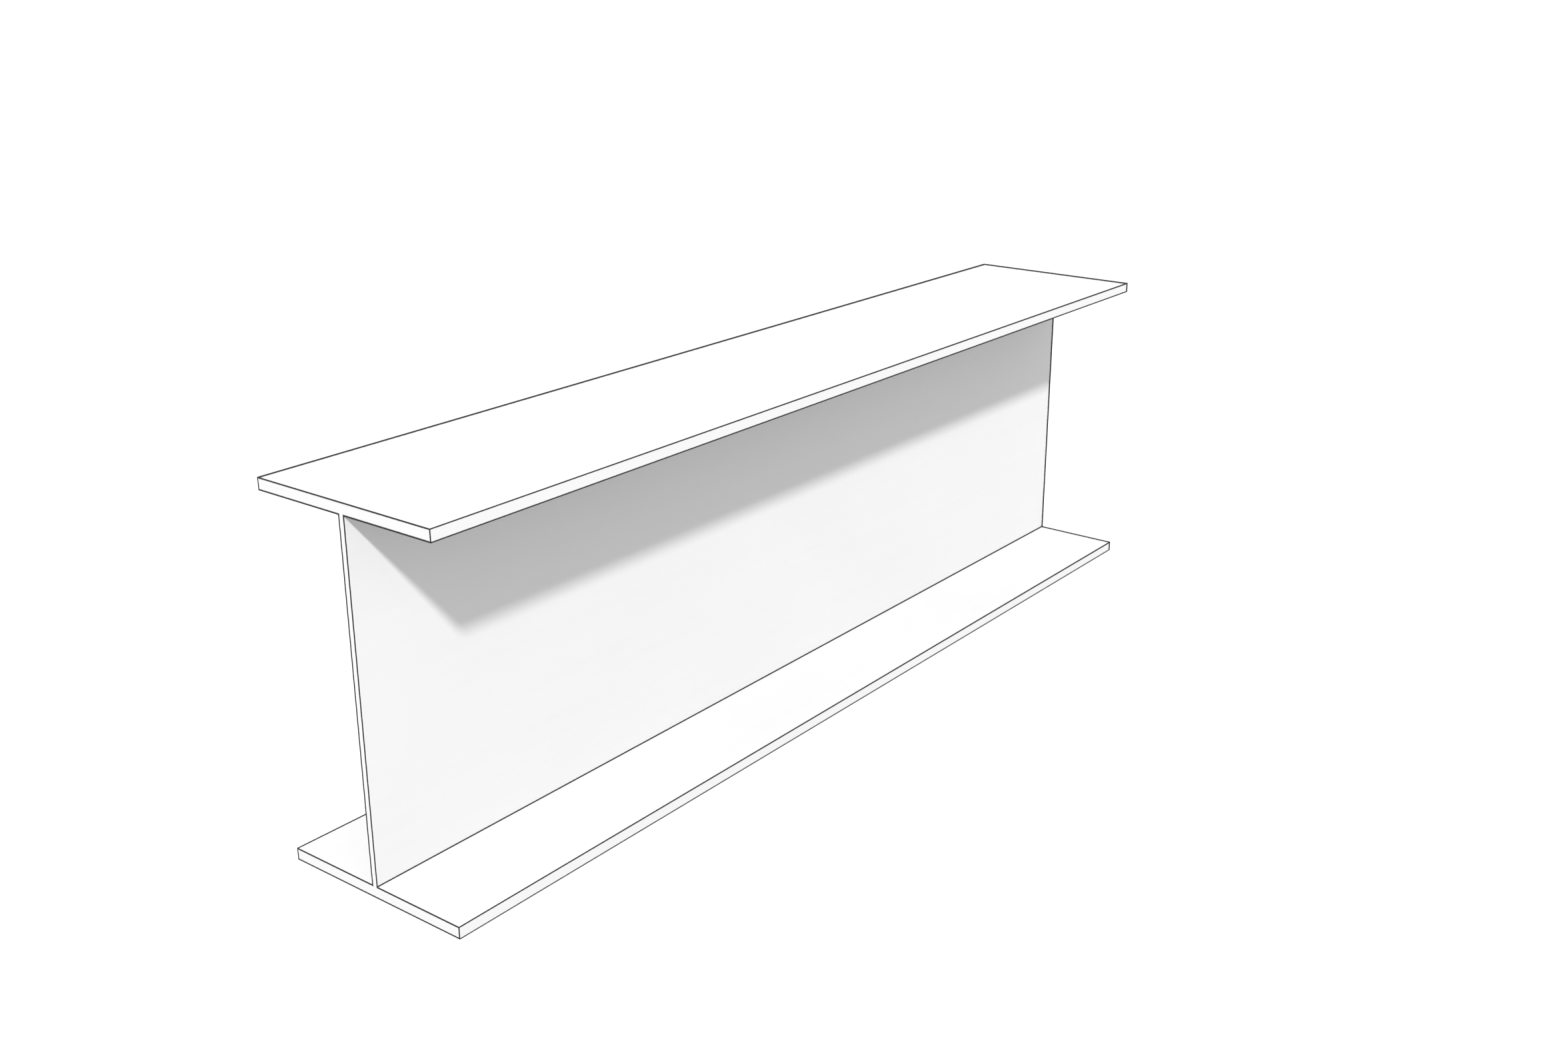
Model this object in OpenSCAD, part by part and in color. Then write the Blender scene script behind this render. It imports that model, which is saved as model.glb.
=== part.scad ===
// Steel I-beam: one rolled length of structural section, cut square at both ends.
// Two equal parallel flanges stand above and below a thin central web.
// The beam lies along Y on its bottom flange, with its web upright in the YZ plane.
// The origin is the middle of its footprint, on the underside of the bottom flange.

/* [Section] */
// Depth, from the underside of the bottom flange to the top of the top flange
depth = 311; // [200:1:600]
// Width of each flange
flange_w = 182; // [100:1:300]
// Thickness of each flange
flange_t = 10.3; // [6:0.1:20]
// Thickness of the web
web_t = 6.1; // [4:0.1:14]

/* [Rounding] */
// Radius of the hollow corners where the web meets the flanges
root_r = 0.8; // [0.4:0.1:12]
// Radius of the flanges' long edges
arris_r = 0.4; // [0.2:0.1:2]

/* [Length] */
// Length between the two cut ends
length = 1000; // [300:10:12000]

/* [Hidden] */
$fn = 48;
// Height of the flanges' inner faces above and below the middle of the section
inner_z = depth / 2 - flange_t;

// Draws its children in all four quadrants of the section.
module in_each_quadrant() {
    for (x = [0, 1], y = [0, 1])
        mirror([x, 0]) mirror([0, y]) children();
}

// The gap between a square corner at the origin and the arc of radius r that rounds it.
module corner_gap(r) {
    difference() {
        square(r);
        translate([r, r]) circle(r);
    }
}

// One quarter's share of a flange, from the middle of the section out to its tip.
module half_flange() {
    difference() {
        translate([0, inner_z]) square([flange_w / 2, flange_t]);
        translate([flange_w / 2, depth / 2]) rotate(180) corner_gap(arris_r);
        translate([flange_w / 2, inner_z]) mirror([1, 0]) corner_gap(arris_r);
    }
}

// The whole section, centred on the origin, with its depth along the drawing's Y.
module section() {
    square([web_t, 2 * inner_z], center = true);
    in_each_quadrant() {
        half_flange();
        translate([web_t / 2, inner_z]) mirror([0, 1]) corner_gap(root_r);
    }
}

module i_beam() {
    color([0.96, 0.96, 0.95])
        translate([0, 0, depth / 2])
            rotate([90, 0, 0])
                linear_extrude(height = length, center = true) section();
}

i_beam();
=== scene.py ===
"""A one-metre length of steel I-beam, painted white, standing on a pale studio floor.

The rolled section, its paint and the studio are each a class below. Every size of the beam is
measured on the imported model, so the visible beam fills exactly the space that the model holds.
"""

import logging
import math
from dataclasses import asdict, dataclass
from enum import Enum

import bpy
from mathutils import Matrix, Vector


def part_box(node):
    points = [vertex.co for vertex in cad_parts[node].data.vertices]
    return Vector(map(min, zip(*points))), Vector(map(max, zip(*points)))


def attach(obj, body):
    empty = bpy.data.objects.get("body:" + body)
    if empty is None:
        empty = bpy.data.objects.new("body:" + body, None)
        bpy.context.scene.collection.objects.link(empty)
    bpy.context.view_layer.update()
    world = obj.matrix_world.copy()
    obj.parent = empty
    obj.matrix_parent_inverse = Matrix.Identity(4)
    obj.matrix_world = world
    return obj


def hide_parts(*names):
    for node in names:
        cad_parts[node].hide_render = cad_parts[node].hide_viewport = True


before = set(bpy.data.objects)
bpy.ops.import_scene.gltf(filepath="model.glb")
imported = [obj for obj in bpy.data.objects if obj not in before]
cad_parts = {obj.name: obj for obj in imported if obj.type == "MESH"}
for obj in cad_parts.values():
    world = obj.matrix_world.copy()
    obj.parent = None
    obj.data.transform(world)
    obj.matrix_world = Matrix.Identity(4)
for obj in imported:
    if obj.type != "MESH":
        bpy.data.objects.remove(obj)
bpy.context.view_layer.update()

log = logging.getLogger("i_beam")
MM = 0.001
Socket = bpy.types.NodeSocket


class Relief(Enum):
    """How a face of the beam was made, which decides the marks under its paint."""

    ROLLED = ((160.0, 4.0, 160.0), 0.07 * MM)
    SAWN = ((12.0, 1.0, 700.0), 0.12 * MM)

    def __init__(self, fineness: tuple[float, float, float], height: float) -> None:
        """Keep how many marks there are a metre along X, Y and Z, and how high they stand."""
        self.fineness = fineness
        self.height = height


class Bench:
    """Adds nodes to one tree and wires them, so that a formula reads as one expression."""

    def __init__(self, tree: bpy.types.NodeTree) -> None:
        """Keep the tree that the nodes go in."""
        self.tree = tree

    def node(self, kind: str, **settings: object) -> bpy.types.Node:
        """Add one node.

        Args:
            kind: the node's type name.
            settings: properties to set on the new node.

        Returns:
            The new node.
        """
        made = self.tree.nodes.new(kind)
        for name, value in settings.items():
            setattr(made, name, value)
        return made

    def feed(self, target: Socket, value: object) -> None:
        """Link a socket to an input, or set the input to a constant.

        Args:
            target: the input.
            value: the socket or the constant.
        """
        if isinstance(value, bpy.types.NodeSocket):
            self.tree.links.new(value, target)
        else:
            target.default_value = value

    def math(self, operation: str, *values: object) -> Socket:
        """Add one Math node.

        Args:
            operation: what the node works out.
            values: a socket or a constant for each of its inputs, in order.

        Returns:
            The node's result.
        """
        made = self.node("ShaderNodeMath", operation=operation)
        for target, value in zip(made.inputs, values):
            self.feed(target, value)
        return made.outputs["Value"]

    def vector(self, operation: str, *values: object) -> Socket:
        """Add one Vector Math node.

        Args:
            operation: what the node works out.
            values: a socket or a constant for each of its inputs, in order.

        Returns:
            The node's result, which is a number for a length.
        """
        made = self.node("ShaderNodeVectorMath", operation=operation)
        for target, value in zip(made.inputs, values):
            self.feed(target, value)
        return made.outputs["Value" if operation == "LENGTH" else "Vector"]

    def combine(self, x: object, y: object, z: object) -> Socket:
        """Join three numbers into a vector.

        Args:
            x: a socket or a constant for the first number.
            y: the same for the second.
            z: the same for the third.

        Returns:
            The vector.
        """
        made = self.node("ShaderNodeCombineXYZ")
        for target, value in zip(made.inputs, (x, y, z)):
            self.feed(target, value)
        return made.outputs["Vector"]

    def split(self, vector: Socket) -> tuple[Socket, Socket, Socket]:
        """Part a vector into its three numbers.

        Args:
            vector: the vector.

        Returns:
            Its X, Y and Z.
        """
        made = self.node("ShaderNodeSeparateXYZ")
        self.feed(made.inputs["Vector"], vector)
        return tuple(made.outputs)

    def ease(
        self, value: Socket, start: object, end: object, before: float, after: float
    ) -> Socket:
        """Go smoothly from one level to another while a value crosses a range.

        Args:
            value: the value to follow.
            start: where the range starts.
            end: where the range ends.
            before: the level below the range.
            after: the level above the range.

        Returns:
            The level.
        """
        made = self.node("ShaderNodeMapRange", interpolation_type="SMOOTHSTEP")
        for name, number in (
            ("Value", value),
            ("From Min", start),
            ("From Max", end),
            ("To Min", before),
            ("To Max", after),
        ):
            self.feed(made.inputs[name], number)
        return made.outputs["Result"]

    def noise(self, place: Socket, scale: object, detail: float = 2.0) -> Socket:
        """Sample smooth noise around zero, from about -0.5 to 0.5.

        Args:
            place: the point to sample it at.
            scale: how many bumps it has a metre.
            detail: how many layers of finer bumps it has.

        Returns:
            The noise.
        """
        made = self.node("ShaderNodeTexNoise")
        self.feed(made.inputs["Vector"], place)
        self.feed(made.inputs["Scale"], scale)
        self.feed(made.inputs["Detail"], detail)
        return self.math("SUBTRACT", made.outputs["Fac"], 0.5)


def open_group(name: str, kind: str, inputs: dict[str, str], outputs: dict[str, str]) -> Bench:
    """Start a node group with a named socket for each input and output.

    Args:
        name: the group's name.
        kind: the tree's type name.
        inputs: each input's name and socket type, in order.
        outputs: each output's name and socket type, in order.

    Returns:
        A bench on the new group.
    """
    tree = bpy.data.node_groups.new(name, kind)
    for direction, sockets in (("INPUT", inputs), ("OUTPUT", outputs)):
        for label, socket_type in sockets.items():
            tree.interface.new_socket(label, in_out=direction, socket_type=socket_type)
    return Bench(tree)


@dataclass(frozen=True)
class SectionSizes:
    """The beam's sizes in metres."""

    depth: float
    flange_width: float
    flange_thickness: float
    web_thickness: float
    root_radius: float
    arris_radius: float
    length: float

    @classmethod
    def measured(cls, node: str) -> "SectionSizes":
        """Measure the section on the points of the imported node.

        Args:
            node: name of the beam's node.

        Returns:
            The sizes that its points show.
        """
        low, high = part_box(node)
        points = [point.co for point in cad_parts[node].data.vertices]
        level = 2e-6  # points nearer than this to a face lie in it
        tip = [p.z for p in points if high.x - p.x < level and p.z < high.z / 2]
        half_web = min(abs(p.x) for p in points)
        web = [p.z for p in points if abs(p.x) - half_web < level]
        crown = [p.x for p in points if high.z - p.z < level]
        # The bottom flange's tip stops short of both of its faces by the same radius.
        flange_thickness = min(tip) + max(tip)
        return cls(
            depth=high.z - low.z,
            flange_width=high.x - low.x,
            flange_thickness=flange_thickness,
            web_thickness=2 * half_web,
            root_radius=min(web) - flange_thickness,
            arris_radius=high.x - max(crown),
            length=high.y - low.y,
        )


class SectionSweep:
    """The Geometry Nodes tree that draws the I section and sweeps it along the beam."""

    CORNERS = 12
    # A face is part of a cut end when its normal runs at least this far along the beam.
    END_FACING = 0.5
    SIZES = {
        "Depth": "depth",
        "Flange Width": "flange_width",
        "Flange Thickness": "flange_thickness",
        "Web Thickness": "web_thickness",
        "Root Radius": "root_radius",
        "Arris Radius": "arris_radius",
        "Length": "length",
    }

    def __init__(self) -> None:
        """Build the tree once."""
        inputs = {name: "NodeSocketFloat" for name in self.SIZES}
        inputs["Arc Steps"] = "NodeSocketInt"
        inputs["Rolled Faces"] = "NodeSocketMaterial"
        inputs["Cut Ends"] = "NodeSocketMaterial"
        self.bench = open_group(
            "rolled_section", "GeometryNodeTree", inputs, {"Geometry": "NodeSocketGeometry"}
        )
        self.given = self.bench.node("NodeGroupInput").outputs
        self._close(self._sweep(self._outline()))

    def _outline(self) -> Socket:
        """Draw the closed outline of the section, with its depth along the drawing's Y.

        The twelve corners run anticlockwise from the top left. Each quarter of the section has
        an outer corner, an inner corner and a root, met in turn and then in reverse.

        Returns:
            The outline's curve, with its corners rounded.
        """
        b, given = self.bench, self.given
        ring = b.node("GeometryNodeCurvePrimitiveCircle", mode="RADIUS")
        ring.inputs["Resolution"].default_value = self.CORNERS
        index = b.node("GeometryNodeInputIndex").outputs["Index"]
        quarter = self.CORNERS / 4
        place_in_quarter = b.math("PINGPONG", b.math("ADD", index, 0.5), quarter)
        is_outer = b.math("LESS_THAN", place_in_quarter, 1)
        is_root = b.math("GREATER_THAN", place_in_quarter, 2)
        middle = (self.CORNERS - 1) / 2
        from_middle = b.math("SUBTRACT", index, middle)
        right = b.math("SIGN", from_middle)
        up = b.math("SIGN", b.math("SUBTRACT", b.math("ABSOLUTE", from_middle), quarter))
        width = self._either(is_root, given["Web Thickness"], given["Flange Width"])
        x = b.math("MULTIPLY", b.math("DIVIDE", width, 2), right)
        inset = self._either(is_outer, 0.0, given["Flange Thickness"])
        height = b.math("SUBTRACT", b.math("DIVIDE", given["Depth"], 2), inset)
        corners = b.node("GeometryNodeSetPosition")
        b.feed(corners.inputs["Geometry"], ring.outputs["Curve"])
        b.feed(corners.inputs["Position"], b.combine(x, b.math("MULTIPLY", height, up), 0.0))
        rounded = b.node("GeometryNodeFilletCurve", mode="POLY")
        b.feed(rounded.inputs["Curve"], corners.outputs["Geometry"])
        b.feed(rounded.inputs["Count"], given["Arc Steps"])
        radius = self._either(is_root, given["Root Radius"], given["Arris Radius"])
        b.feed(rounded.inputs["Radius"], radius)
        return rounded.outputs["Curve"]

    def _either(self, choice: Socket, chosen: object, other: object) -> Socket:
        """Pick one of two numbers.

        Args:
            choice: 1 or 0.
            chosen: the number for 1.
            other: the number for 0.

        Returns:
            The number picked.
        """
        made = self.bench.node("GeometryNodeSwitch", input_type="FLOAT")
        self.bench.feed(made.inputs["Switch"], choice)
        self.bench.feed(made.inputs["True"], chosen)
        self.bench.feed(made.inputs["False"], other)
        return made.outputs["Output"]

    def _sweep(self, outline: Socket) -> Socket:
        """Carry the outline from one cut end to the other and cap both ends.

        Args:
            outline: the section's curve.

        Returns:
            The beam's mesh.
        """
        b, given = self.bench, self.given
        half_length = b.math("DIVIDE", given["Length"], 2)
        middle = b.math("DIVIDE", given["Depth"], 2)
        line = b.node("GeometryNodeCurvePrimitiveLine", mode="POINTS")
        b.feed(line.inputs["Start"], b.combine(0.0, b.math("MULTIPLY", half_length, -1), middle))
        b.feed(line.inputs["End"], b.combine(0.0, half_length, middle))
        swept = b.node("GeometryNodeCurveToMesh")
        b.feed(swept.inputs["Curve"], line.outputs["Curve"])
        b.feed(swept.inputs["Profile Curve"], outline)
        swept.inputs["Fill Caps"].default_value = True
        return swept.outputs["Mesh"]

    def _close(self, mesh: Socket) -> None:
        """Give the rolled faces and the cut ends their materials, and end the tree.

        Args:
            mesh: the beam's mesh.
        """
        b, given = self.bench, self.given
        realized = b.node("GeometryNodeRealizeInstances")
        b.feed(realized.inputs["Geometry"], mesh)
        rolled = b.node("GeometryNodeSetMaterial")
        b.feed(rolled.inputs["Geometry"], realized.outputs["Geometry"])
        b.feed(rolled.inputs["Material"], given["Rolled Faces"])
        _, along, _ = b.split(b.node("GeometryNodeInputNormal").outputs["Normal"])
        cut = b.node("GeometryNodeSetMaterial")
        b.feed(cut.inputs["Geometry"], rolled.outputs["Geometry"])
        at_end = b.math("GREATER_THAN", b.math("ABSOLUTE", along), self.END_FACING)
        b.feed(cut.inputs["Selection"], at_end)
        b.feed(cut.inputs["Material"], given["Cut Ends"])
        b.feed(b.node("NodeGroupOutput").inputs["Geometry"], cut.outputs["Geometry"])

    def apply_to(self, piece: bpy.types.Object, values: dict[str, object]) -> None:
        """Put the tree on a piece as a modifier.

        Args:
            piece: the mesh object that the section is built in.
            values: a value for each of the tree's inputs, by name.
        """
        modifier = piece.modifiers.new("rolled_section", "NODES")
        modifier.node_group = self.bench.tree
        for item in self.bench.tree.interface.items_tree:
            if item.in_out == "INPUT":
                modifier[item.identifier] = values[item.name]


@dataclass(frozen=True)
class EdgeWear:
    """The narrow lines of dark mill scale that show along the beam's edges, and the dark lines in
    its roots, which are painted shade in the creases.

    Each reach is how far the bare steel runs from an edge, in metres. The lines are wider on the
    left side of each flat face and beside the far cut on the right side, and on the top face
    these are on_top times as wide again, so that they still show where the studio's camera looks
    along a face. The leans are how much further than their reach the lines run on lower edges,
    and on the left edges of the cut ends, and how much less on the opposite edges. The growth is
    how much wider the lengthwise lines get from the beam's middle to its far end, and how much
    narrower to its near end. The raggedness is the whole spread of the noise that moves a line's
    border, and the fade is how far the border blurs to each side, both as shares of the reach.
    The grain is how many bumps that noise has a metre.
    """

    upright: float = 1.2 * MM
    across_right: float = 0.8 * MM
    across_left: float = 2.6 * MM
    near_end: float = 0.5 * MM
    far_end: float = 4.6 * MM
    on_top: float = 1.9
    root: float = 0.8 * MM
    on_near_cut: float = 1.25 * MM
    on_far_cut: float = 0.6 * MM
    lean_down: float = 0.2 * MM
    lean_left: float = 0.35 * MM
    growth: float = 0.2
    raggedness: float = 0.25
    grain: float = 500.0
    fade: float = 0.2

    def group(self, sizes: SectionSizes) -> bpy.types.NodeTree:
        """Build the shader group that finds how near a point is to the beam's edges.

        Args:
            sizes: the beam's sizes, which place its edges.

        Returns:
            The group, whose output is 1 on the edges and on the roots' painted shade, and 0 on the
            faces.
        """
        inputs = {"Position": "NodeSocketVector"}
        inputs.update({name: "NodeSocketFloat" for name in self.inputs()})
        b = open_group("edge_wear", "ShaderNodeTree", inputs, {"Bare And Root Shade": "NodeSocketFloat"})
        given = b.node("NodeGroupInput").outputs
        x, y, z = b.split(given["Position"])
        top_face = b.math("GREATER_THAN", z, (sizes.depth - sizes.arris_radius) / 2)
        wider = self._blend(b, top_face, 1.0, given["On Top"])
        across_left = b.math("MULTIPLY", given["Across Left"], wider)
        on_right, on_far = b.math("GREATER_THAN", x, 0.0), b.math("GREATER_THAN", y, 0.0)
        widened = b.math("MAXIMUM", on_right, top_face)
        far_end = self._blend(b, widened, given["Near End"], given["Far End"])
        far_end = b.math("MULTIPLY", far_end, wider)
        across = self._blend(b, on_right, across_left, given["Across Right"])
        along = self._blend(b, on_far, given["Near End"], far_end)
        down = b.combine(0.0, 0.0, given["Lean Down"])
        lowered = b.vector("SUBTRACT", given["Position"], down)
        place = b.vector("ABSOLUTE", lowered)
        shifted = b.vector("SUBTRACT", lowered, b.combine(given["Lean Left"], 0.0, 0.0))
        place_on_cut = b.vector("ABSOLUTE", shifted)
        upright = given["Upright"]
        half_width, half_depth = sizes.flange_width / 2, sizes.depth / 2
        inner = half_depth - sizes.flange_thickness
        root = given["Root"]
        lengthwise = [
            self._from_corner(b, place, (half_width, 0.0, half_depth), across, upright),
            self._from_corner(b, place, (half_width, 0.0, inner), across, upright),
            # The line in the roots is painted shade in the crease between web and flange.
            self._from_corner(b, place, (sizes.web_thickness / 2, 0.0, inner), root, root),
        ]
        nearest = b.math("MINIMUM", b.math("MINIMUM", *lengthwise[:2]), lengthwise[2])
        per_length = b.math("DIVIDE", given["Growth"], sizes.length / 2)
        nearest = b.math("DIVIDE", nearest, b.math("MULTIPLY_ADD", y, per_length, 1.0))
        on_cut = self._blend(b, on_far, given["On Near Cut"], given["On Far Cut"])
        cut = self._from_cut(b, place_on_cut, sizes, on_cut, along)
        nearest = b.math("MINIMUM", nearest, cut)
        chipping = b.math(
            "MULTIPLY", b.noise(given["Position"], given["Grain"]), given["Raggedness"]
        )
        fade_start = b.math("SUBTRACT", 1.0, given["Fade"])
        fade_end = b.math("ADD", 1.0, given["Fade"])
        bare_and_root_shade = b.ease(b.math("ADD", nearest, chipping), fade_start, fade_end, 1.0, 0.0)
        b.feed(b.node("NodeGroupOutput").inputs["Bare And Root Shade"], bare_and_root_shade)
        return b.tree

    def inputs(self) -> dict[str, float]:
        """Name the value that each input of the group takes, after the field that holds it."""
        return {name.replace("_", " ").title(): value for name, value in asdict(self).items()}

    def _blend(self, b: Bench, share: Socket, low: object, high: object) -> Socket:
        """Go from one number to another as the share goes from 0 to 1.

        Args:
            b: the bench to work on.
            share: how far to go.
            low: the number at 0.
            high: the number at 1.

        Returns:
            The number between them.
        """
        made = b.node("ShaderNodeMix", data_type="FLOAT")
        b.feed(made.inputs["Factor"], share)
        b.feed(made.inputs["A"], low)
        b.feed(made.inputs["B"], high)
        return made.outputs["Result"]

    def _from_corner(
        self, b: Bench, place: Socket, corner: tuple[float, float, float], across: Socket,
        upright: Socket,
    ) -> Socket:
        """Measure how far a point is from one lengthwise edge, as a share of the reach.

        Args:
            b: the bench to work on.
            place: the point, folded into the section's first quarter.
            corner: the edge's place in the section.
            across: the reach over flat faces.
            upright: the reach over upright faces.

        Returns:
            The distance, which is 1 at the reach.
        """
        offset = b.vector("SUBTRACT", place, corner)
        share = b.vector("DIVIDE", offset, b.combine(across, 1.0, upright))
        return b.vector("LENGTH", b.vector("MULTIPLY", share, (1.0, 0.0, 1.0)))

    def _from_cut(
        self, b: Bench, place: Socket, sizes: SectionSizes, on_cut: Socket, along: Socket
    ) -> Socket:
        """Measure how far a point is from the outline of a cut end, as a share of the reach.

        Args:
            b: the bench to work on.
            place: the point, folded into the section's first quarter.
            sizes: the beam's sizes.
            on_cut: the reach over the cut face.
            along: the reach over the rolled faces.

        Returns:
            The distance, which is 1 at the reach.
        """
        x, y, z = b.split(place)
        half_flange = sizes.flange_thickness / 2
        flange_middle = sizes.depth / 2 - half_flange
        from_flange = b.math("ABSOLUTE", b.math("SUBTRACT", z, flange_middle))
        in_flange = b.math(
            "MINIMUM",
            b.math("SUBTRACT", sizes.flange_width / 2, x),
            b.math("SUBTRACT", half_flange, from_flange),
        )
        in_web = b.math(
            "MINIMUM",
            b.math("SUBTRACT", sizes.web_thickness / 2, x),
            b.math("SUBTRACT", sizes.depth / 2, z),
        )
        inside = b.math("MAXIMUM", b.math("MAXIMUM", in_flange, in_web), 0.0)
        from_end = b.math("SUBTRACT", sizes.length / 2, y)
        shares = b.combine(
            b.math("DIVIDE", inside, on_cut), b.math("DIVIDE", from_end, along), 0.0
        )
        return b.vector("LENGTH", shares)


def film_group() -> bpy.types.NodeTree:
    """Build the shader group of the marks that the paint film and the steel under it show.

    Returns:
        The group, with a Height in metres and a Tone around zero.
    """
    inputs = {
        "Position": "NodeSocketVector",
        "Mark Fineness": "NodeSocketVector",
        "Mark Height": "NodeSocketFloat",
        "Mark Tone": "NodeSocketFloat",
        "Peel Fineness": "NodeSocketFloat",
        "Peel Height": "NodeSocketFloat",
        "Cloud Fineness": "NodeSocketFloat",
    }
    outputs = {"Height": "NodeSocketFloat", "Tone": "NodeSocketFloat"}
    b = open_group("paint_film", "ShaderNodeTree", inputs, outputs)
    given = b.node("NodeGroupInput").outputs
    stretched = b.vector("MULTIPLY", given["Position"], given["Mark Fineness"])
    marks = b.noise(stretched, 1.0, detail=3.0)
    peel = b.noise(given["Position"], given["Peel Fineness"], detail=1.0)
    clouds = b.noise(given["Position"], given["Cloud Fineness"], detail=3.0)
    height = b.math(
        "ADD",
        b.math("MULTIPLY", marks, given["Mark Height"]),
        b.math("MULTIPLY", peel, given["Peel Height"]),
    )
    tone = b.math("ADD", b.math("MULTIPLY", marks, given["Mark Tone"]), clouds)
    out = b.node("NodeGroupOutput")
    b.feed(out.inputs["Height"], height)
    b.feed(out.inputs["Tone"], tone)
    return b.tree


@dataclass(frozen=True)
class WhitePaint:
    """A matt white paint over rolled or sawn steel, worn through at the edges, with painted shade
    in the roots.

    The swings are how far the film's tone changes the colour and the roughness. The fineness of
    the orange peel and of the clouds is in bumps a metre, and mark_tone is how much the marks
    count in the tone beside the clouds. The share passed_on is how bright the paint looks to
    light that bounces on from it, which keeps the web's tone even.
    """

    name: str
    relief: Relief
    colour: tuple[float, float, float] = (0.74, 0.74, 0.74)
    # The dark colour of the bare steel at the edges, also used for painted shade in the roots.
    bare_and_shade_colour: tuple[float, float, float] = (0.018, 0.0185, 0.0195)
    roughness: float = 0.6
    bare_roughness: float = 0.9
    specular: float = 0.3
    tone_swing: float = 0.05
    gloss_swing: float = 0.2
    mark_tone: float = 0.6
    peel_fineness: float = 260.0
    peel_height: float = 0.025 * MM
    cloud_fineness: float = 7.0
    passed_on: float = 0.61

    def material(
        self, sizes: SectionSizes, wear: EdgeWear, wear_tree: bpy.types.NodeTree,
        film_tree: bpy.types.NodeTree,
    ) -> bpy.types.Material:
        """Build the finish.

        Args:
            sizes: the beam's sizes, which place its edges.
            wear: how far the bare lines reach.
            wear_tree: the shared edge wear group.
            film_tree: the shared paint film group.

        Returns:
            The new material.
        """
        made = bpy.data.materials.new(self.name)
        made.use_nodes = True
        made.node_tree.nodes.clear()
        b = Bench(made.node_tree)
        centred = b.node("ShaderNodeMapping")
        b.feed(centred.inputs["Vector"], b.node("ShaderNodeTexCoord").outputs["Object"])
        centred.inputs["Location"].default_value = (0.0, 0.0, -sizes.depth / 2)
        place = centred.outputs["Vector"]
        edges = b.node("ShaderNodeGroup", node_tree=wear_tree)
        b.feed(edges.inputs["Position"], place)
        for name, value in wear.inputs().items():
            b.feed(edges.inputs[name], value)
        film = b.node("ShaderNodeGroup", node_tree=film_tree)
        for name, value in (
            ("Position", place),
            ("Mark Fineness", self.relief.fineness),
            ("Mark Height", self.relief.height),
            ("Mark Tone", self.mark_tone),
            ("Peel Fineness", self.peel_fineness),
            ("Peel Height", self.peel_height),
            ("Cloud Fineness", self.cloud_fineness),
        ):
            b.feed(film.inputs[name], value)
        bare_and_root_shade, tone = edges.outputs["Bare And Root Shade"], film.outputs["Tone"]
        relief = b.node("ShaderNodeBump")
        relief.inputs["Distance"].default_value = 1.0
        b.feed(relief.inputs["Height"], film.outputs["Height"])
        shader = b.node("ShaderNodeBsdfPrincipled")
        for name, value in (
            ("Base Color", self._colour(b, bare_and_root_shade, tone)),
            ("Roughness", self._roughness(b, bare_and_root_shade, tone)),
            ("Specular IOR Level", self.specular),
            ("Normal", relief.outputs["Normal"]),
        ):
            b.feed(shader.inputs[name], value)
        b.feed(b.node("ShaderNodeOutputMaterial").inputs["Surface"], shader.outputs["BSDF"])
        return made

    def _colour(self, b: Bench, bare_and_root_shade: Socket, tone: Socket) -> Socket:
        """Mix the paint's colour with the bare steel's and the roots' painted shade, and dim the
        paint for bounced light.

        Args:
            b: the bench to work on.
            bare_and_root_shade: 1 where the steel shows, and on the roots' painted shade.
            tone: the film's tone, around zero.

        Returns:
            The colour.
        """
        shade = b.math("MULTIPLY_ADD", tone, self.tone_swing, 1.0)
        bounced = b.node("ShaderNodeLightPath").outputs["Is Diffuse Ray"]
        shade = b.math("MULTIPLY", shade, b.math("MULTIPLY_ADD", bounced, self.passed_on - 1, 1.0))
        toned = b.vector("SCALE", self.colour)
        b.feed(toned.node.inputs["Scale"], shade)
        mixed = b.node("ShaderNodeMix", data_type="RGBA")
        b.feed(mixed.inputs["Factor"], bare_and_root_shade)
        b.feed(mixed.inputs["A"], toned)
        b.feed(mixed.inputs["B"], (*self.bare_and_shade_colour, 1.0))
        return mixed.outputs["Result"]

    def _roughness(self, b: Bench, bare_and_root_shade: Socket, tone: Socket) -> Socket:
        """Mix the paint's roughness with the bare steel's, which the roots' painted shade also
        takes.

        Args:
            b: the bench to work on.
            bare_and_root_shade: 1 where the steel shows, and on the roots' painted shade.
            tone: the film's tone, around zero.

        Returns:
            The roughness.
        """
        rough = b.node("ShaderNodeMix", data_type="FLOAT")
        b.feed(rough.inputs["Factor"], bare_and_root_shade)
        b.feed(rough.inputs["A"], b.math("MULTIPLY_ADD", tone, self.gloss_swing, self.roughness))
        b.feed(rough.inputs["B"], self.bare_roughness)
        return rough.outputs["Result"]


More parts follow.
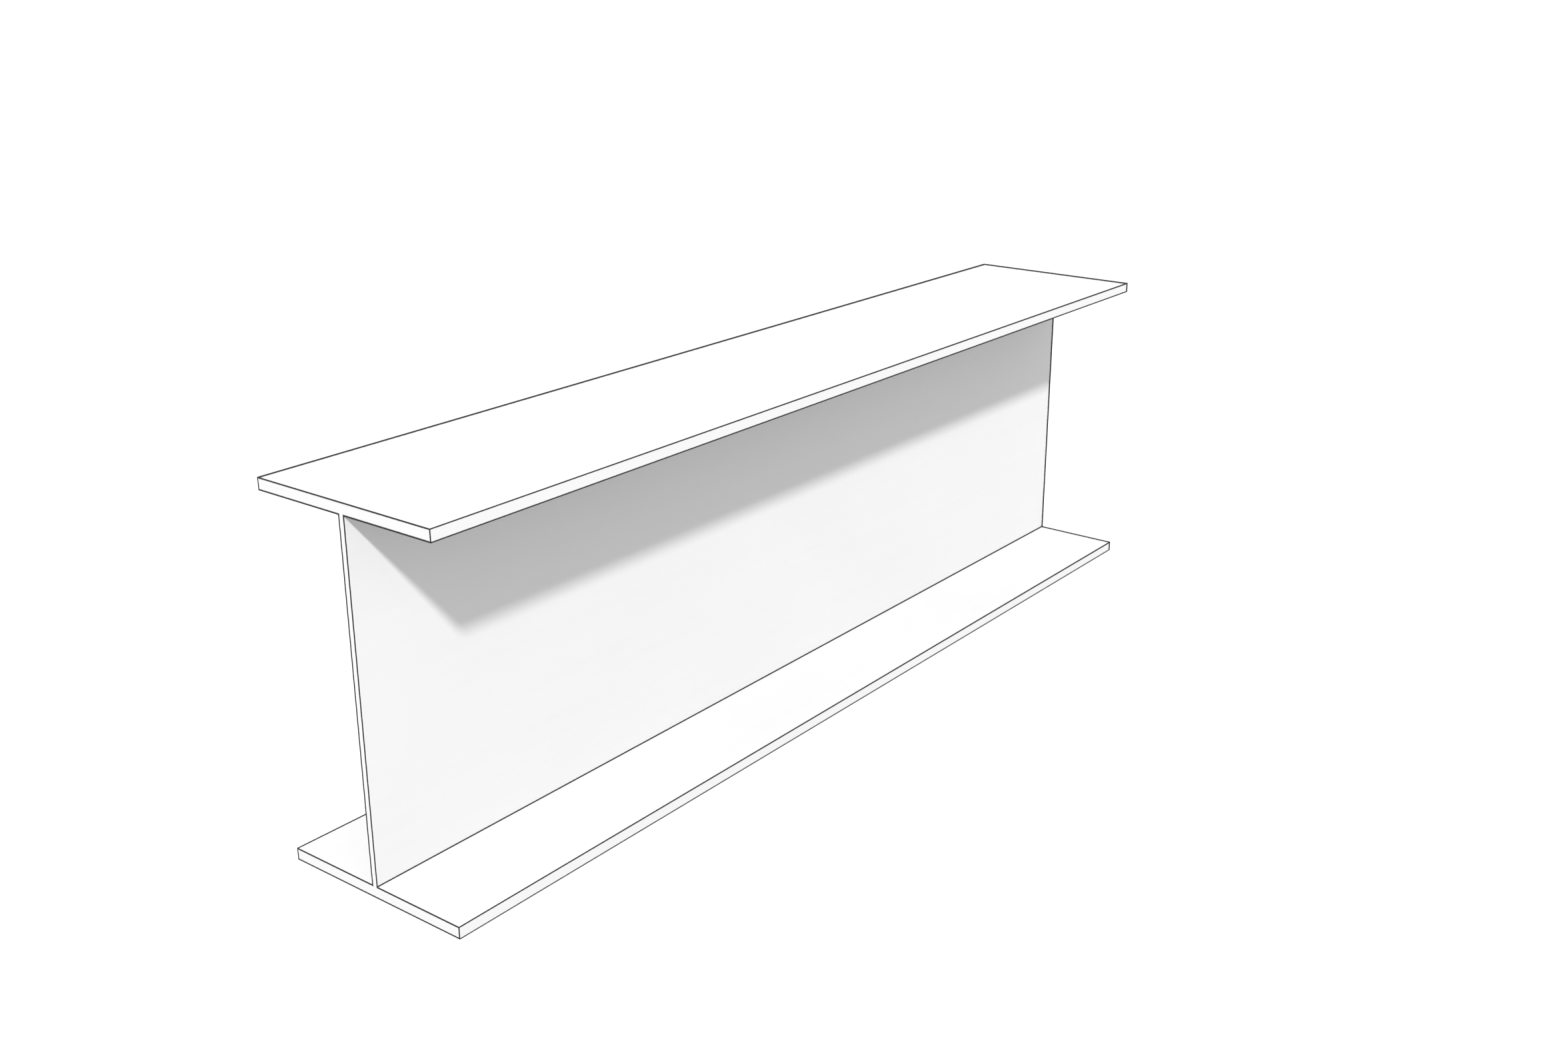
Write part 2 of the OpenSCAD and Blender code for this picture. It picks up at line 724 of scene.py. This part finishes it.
@dataclass
class Beam:
    """The beam: one rolled length, cut square, painted all over.

    Edges where the faces turn by more than cut_break_angle, in degrees, are broken. A face is
    taken as flat when the largest part of its normal reaches the flatness.
    """

    sizes: SectionSizes
    arc_steps: int = 6
    cut_break: float = 0.3 * MM
    cut_break_steps: int = 3
    cut_break_angle: float = 60.0
    flatness: float = 0.9999
    wear: EdgeWear = EdgeWear()
    rolled_paint: WhitePaint = WhitePaint("white_paint_rolled", Relief.ROLLED)
    # The cut ends' paint is a touch darker than the rolled faces' paint: painted shade on the end
    # face.
    cut_paint: WhitePaint = WhitePaint(
        "white_paint_sawn", Relief.SAWN, colour=(0.735, 0.735, 0.735)
    )

    def build(self) -> bpy.types.Object:
        """Sweep the section, break its cut edges and paint it.

        Returns:
            The finished piece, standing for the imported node.
        """
        wear_tree, film_tree = self.wear.group(self.sizes), film_group()
        finishes = {"Rolled Faces": self.rolled_paint, "Cut Ends": self.cut_paint}
        values = {
            name: getattr(self.sizes, field) for name, field in SectionSweep.SIZES.items()
        }
        values["Arc Steps"] = self.arc_steps
        for name, finish in finishes.items():
            values[name] = finish.material(self.sizes, self.wear, wear_tree, film_tree)
        piece = bpy.data.objects.new("painted_beam", bpy.data.meshes.new("painted_beam"))
        bpy.context.scene.collection.objects.link(piece)
        SectionSweep().apply_to(piece, values)
        self._break_cut_edges(piece)
        self._settle(piece)
        self._shade(piece)
        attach(piece, "root")
        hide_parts("i_beam")
        return piece

    def _break_cut_edges(self, piece: bpy.types.Object) -> None:
        """Take the sharpness off the edges that the saw left.

        Args:
            piece: the beam, to which the modifier is added.
        """
        bevel = piece.modifiers.new("cut_edges", "BEVEL")
        bevel.width = self.cut_break
        bevel.segments = self.cut_break_steps
        bevel.limit_method = "ANGLE"
        bevel.angle_limit = math.radians(self.cut_break_angle)
        bevel.use_clamp_overlap = False

    def _settle(self, piece: bpy.types.Object) -> None:
        """Turn the modified piece into a plain mesh.

        Args:
            piece: the beam, whose modifiers are taken off.
        """
        depsgraph = bpy.context.evaluated_depsgraph_get()
        plain = bpy.data.meshes.new_from_object(
            piece.evaluated_get(depsgraph), preserve_all_data_layers=True, depsgraph=depsgraph
        )
        piece.modifiers.clear()
        piece.data = plain
        plain.name = piece.name

    def _shade(self, piece: bpy.types.Object) -> None:
        """Shade the rounded strips smooth and leave every flat face flat."""
        for face in piece.data.polygons:
            face.use_smooth = max(abs(part) for part in face.normal) < self.flatness


@dataclass
class Studio:
    """A seamless pale floor under a soft key light, with the camera that looks down on it.

    Angles are in degrees. The camera's stand is in section depths from the foot of the near end.
    The floor has one tone for the camera and a darker one for light that bounces on from it.
    """

    sizes: SectionSizes
    camera_stand: tuple[float, float, float] = (2.925, -2.233, 2.208)
    camera_azimuth: float = 37.28
    camera_elevation: float = 19.5
    camera_height_angle: float = 34.0
    frame_shape: float = 1.5
    key_azimuth: float = 42.08
    key_elevation: float = 42.15
    key_softness: float = 3.5
    key_strength: float = 3.44
    sky_strength: float = 0.79
    floor_tone: float = 0.82
    floor_bounce: float = 0.44
    floor_radius: float = 60.0
    floor_sides: int = 64

    def build(self) -> None:
        """Lay the floor, hang the lights and set the camera."""
        self._floor()
        self._lamp()
        self._sky()
        self._camera()

    def _floor(self) -> None:
        """Lay a wide round floor at the height of the beam's underside."""
        sides = range(self.floor_sides)
        turns = [2 * math.pi * side / self.floor_sides for side in sides]
        rim = [
            (self.floor_radius * math.cos(turn), self.floor_radius * math.sin(turn), 0.0)
            for turn in turns
        ]
        mesh = bpy.data.meshes.new("studio_floor")
        mesh.from_pydata(rim, [], [sides])
        mesh.materials.append(self._pale_floor())
        floor = bpy.data.objects.new("studio_floor", mesh)
        bpy.context.scene.collection.objects.link(floor)

    def _pale_floor(self) -> bpy.types.Material:
        """Build the floor's material, which is darker for light that bounces on from it.

        Returns:
            The new material.
        """
        made = bpy.data.materials.new("pale_floor")
        made.use_nodes = True
        made.node_tree.nodes.clear()
        b = Bench(made.node_tree)
        seen = b.node("ShaderNodeBsdfDiffuse")
        seen.inputs["Color"].default_value = (*[self.floor_tone] * 3, 1.0)
        bounced = b.node("ShaderNodeBsdfDiffuse")
        bounced.inputs["Color"].default_value = (*[self.floor_bounce] * 3, 1.0)
        either = b.node("ShaderNodeMixShader")
        b.feed(either.inputs["Fac"], b.node("ShaderNodeLightPath").outputs["Is Diffuse Ray"])
        b.feed(either.inputs[1], seen.outputs["BSDF"])
        b.feed(either.inputs[2], bounced.outputs["BSDF"])
        b.feed(b.node("ShaderNodeOutputMaterial").inputs["Surface"], either.outputs["Shader"])
        return made

    def _lamp(self) -> None:
        """Hang the key light, a distant lamp that shines from its azimuth and elevation.

        The azimuth runs from -Y towards +X. The softness is how wide the lamp looks from the
        floor, and the strength is its light on a face turned to it, in watts a square metre.
        """
        lamp = bpy.data.lights.new("key", "SUN")
        lamp.energy = self.key_strength
        lamp.angle = math.radians(self.key_softness)
        placed = bpy.data.objects.new("key", lamp)
        placed.rotation_euler = (
            math.radians(90 - self.key_elevation), 0.0, math.radians(self.key_azimuth)
        )
        bpy.context.scene.collection.objects.link(placed)

    def _sky(self) -> None:
        """Surround the floor with even light, which the camera sees as white."""
        world = bpy.data.worlds.new("studio")
        world.use_nodes = True
        world.node_tree.nodes.clear()
        b = Bench(world.node_tree)
        fill = b.node("ShaderNodeBackground")
        fill.inputs["Strength"].default_value = self.sky_strength
        fill.inputs["Color"].default_value = (1.0, 1.0, 1.0, 1.0)
        white = b.node("ShaderNodeBackground")
        white.inputs["Color"].default_value = (1.0, 1.0, 1.0, 1.0)
        seen = b.node("ShaderNodeMixShader")
        b.feed(seen.inputs["Fac"], b.node("ShaderNodeLightPath").outputs["Is Camera Ray"])
        b.feed(seen.inputs[1], fill.outputs["Background"])
        b.feed(seen.inputs[2], white.outputs["Background"])
        b.feed(b.node("ShaderNodeOutputWorld").inputs["Surface"], seen.outputs["Shader"])
        bpy.context.scene.world = world

    def _camera(self) -> None:
        """Stand the camera beside the near end, looking down along the beam."""
        stand = Vector(self.camera_stand) * self.sizes.depth
        near_end = Vector((0.0, -self.sizes.length / 2, 0.0))
        lens = bpy.data.cameras.new("camera")
        half_height = math.tan(math.radians(self.camera_height_angle) / 2)
        lens.angle = 2 * math.atan(half_height * self.frame_shape)
        lens.clip_end = 2 * self.floor_radius
        camera = bpy.data.objects.new("camera", lens)
        camera.location = near_end + stand
        camera.rotation_euler = (
            math.radians(90 - self.camera_elevation), 0.0, math.radians(self.camera_azimuth)
        )
        bpy.context.scene.collection.objects.link(camera)
        bpy.context.scene.camera = camera
        bpy.context.scene.view_settings.view_transform = "Standard"


def main() -> None:
    """Build the beam and the studio."""
    logging.basicConfig(level=logging.INFO, format="%(name)s: %(message)s")
    sizes = SectionSizes.measured("i_beam")
    log.info("section %s", sizes)
    beam = Beam(sizes).build()
    log.info("%s has %d faces", beam.name, len(beam.data.polygons))
    Studio(sizes).build()


if __name__ == "__main__":
    main()
